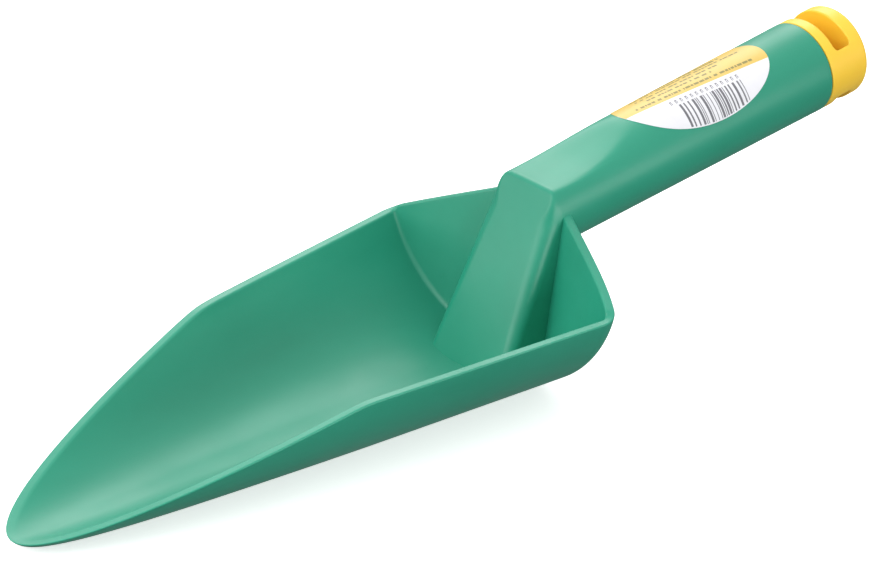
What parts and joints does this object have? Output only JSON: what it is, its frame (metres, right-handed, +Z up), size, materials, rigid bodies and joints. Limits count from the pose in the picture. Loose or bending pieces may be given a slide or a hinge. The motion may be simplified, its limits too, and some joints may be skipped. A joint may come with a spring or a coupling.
{
  "type": "hand trowel",
  "caption": "Scoop-shaped plastic hand trowel with a rounded tip, closed rear wall, angled neck, hollow round handle and a contrasting end cap with a hang slot.",
  "frame": {"origin": "under the middle of the length, on the surface the blade's keel rests on", "axes": "+X along the length from the blade's tip towards the handle's end, +Y to the left seen from the tip, +Z up"},
  "size_m": [0.3204, 0.0996, 0.0807],
  "materials": {
    "green_plastic": "satin injection-moulded polypropylene",
    "yellow_plastic": "satin injection-moulded polypropylene",
    "label_paper": "printed self-adhesive film, semi-gloss"
  },
  "bodies": {
    "root": {"trowel_body": "green_plastic", "end_cap": "yellow_plastic", "label": "label_paper"}
  },
  "joints": []
}
